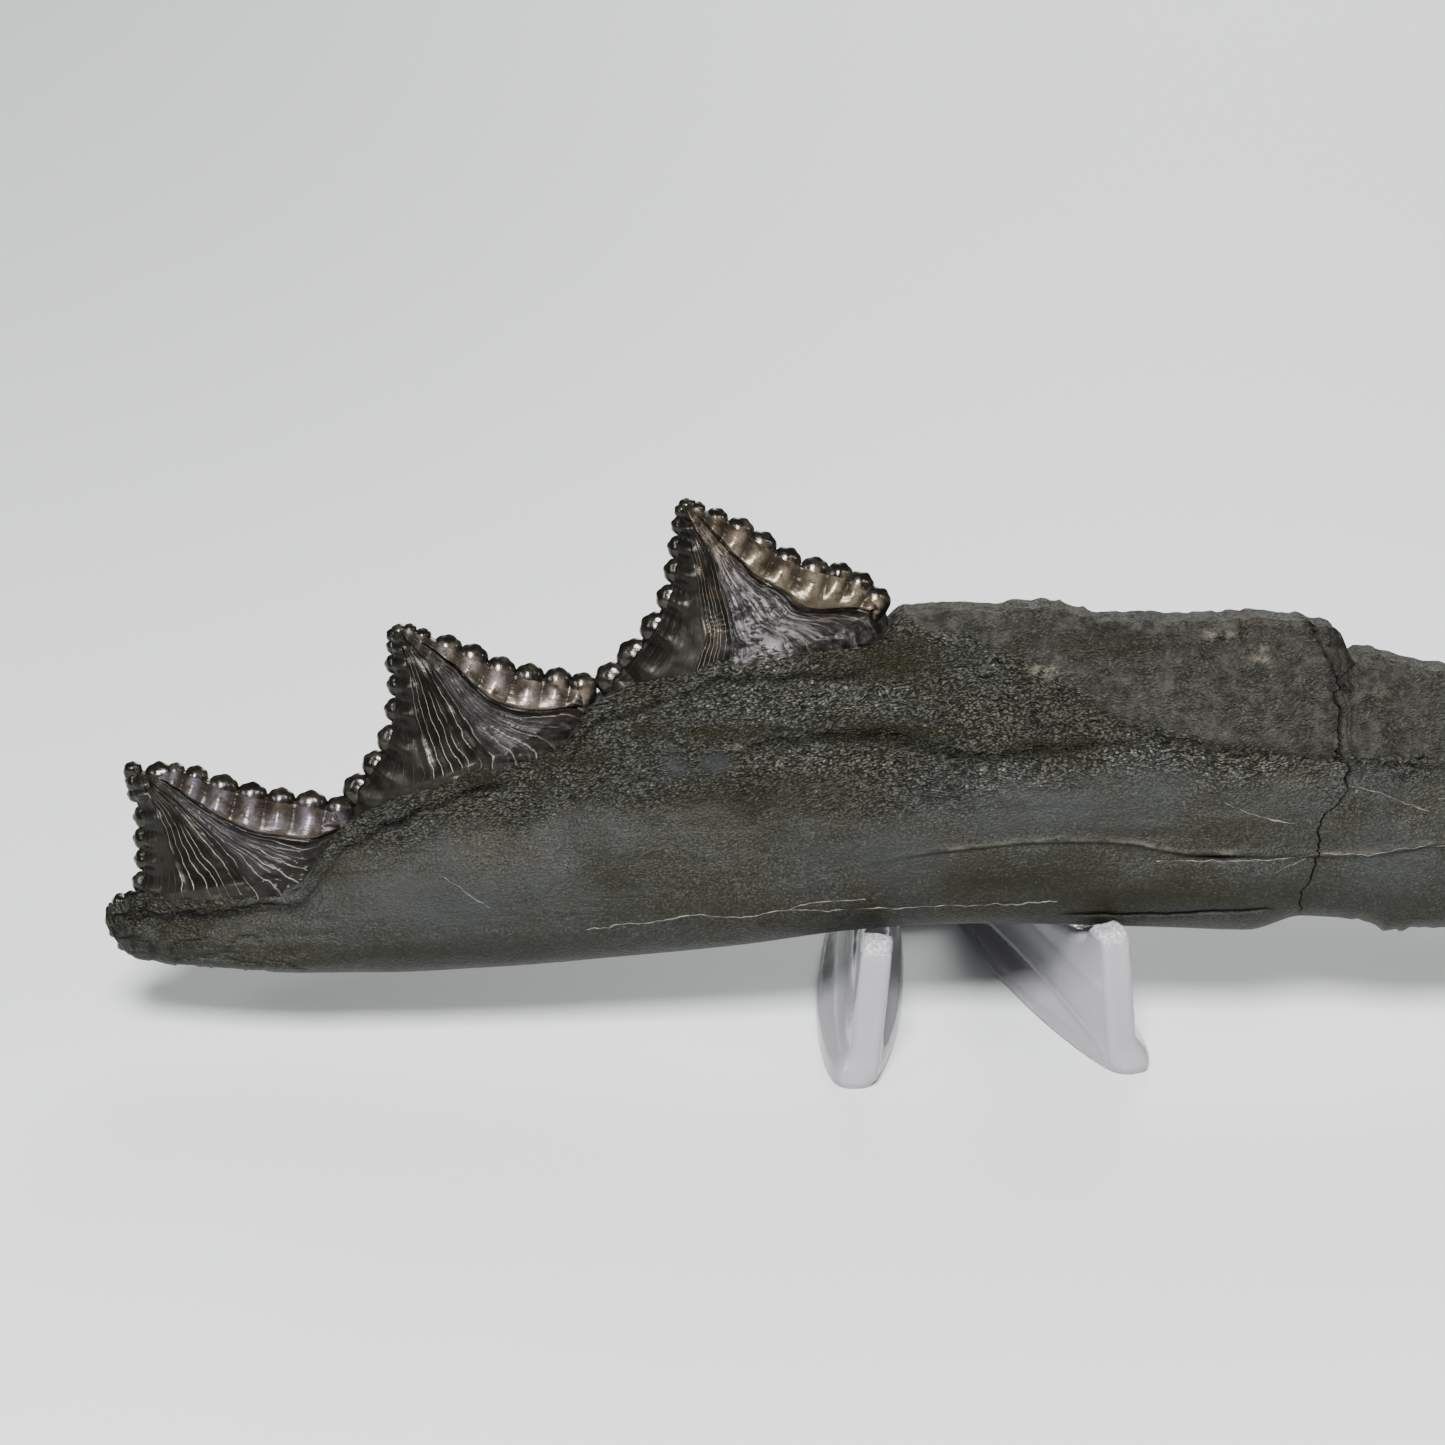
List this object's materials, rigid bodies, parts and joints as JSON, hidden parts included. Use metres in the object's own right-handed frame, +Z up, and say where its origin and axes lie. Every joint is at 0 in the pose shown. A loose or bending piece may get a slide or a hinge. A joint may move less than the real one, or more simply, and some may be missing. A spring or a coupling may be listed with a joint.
{
  "type": "fossil edestus shark jaw",
  "caption": "Petrified shark jaw with serrated blade crowns on a curved root, leaning back in a small clear moulded display stand.",
  "frame": {"origin": "on the floor under the middle of the object's box", "axes": "+X along the jaw towards its broken rear end, -Y out of its shown face, +Z up"},
  "size_m": [0.2686, 0.078, 0.0836],
  "materials": {
    "petrified_tooth": "dark mineralised root, satin and finely wrinkled, with glossy graphite enamel on the crowns",
    "clear_plastic": "clear moulded plastic, slightly hazy and scuffed"
  },
  "bodies": {
    "root": {"jaw": "petrified_tooth", "display_stand": "clear_plastic"}
  },
  "joints": []
}
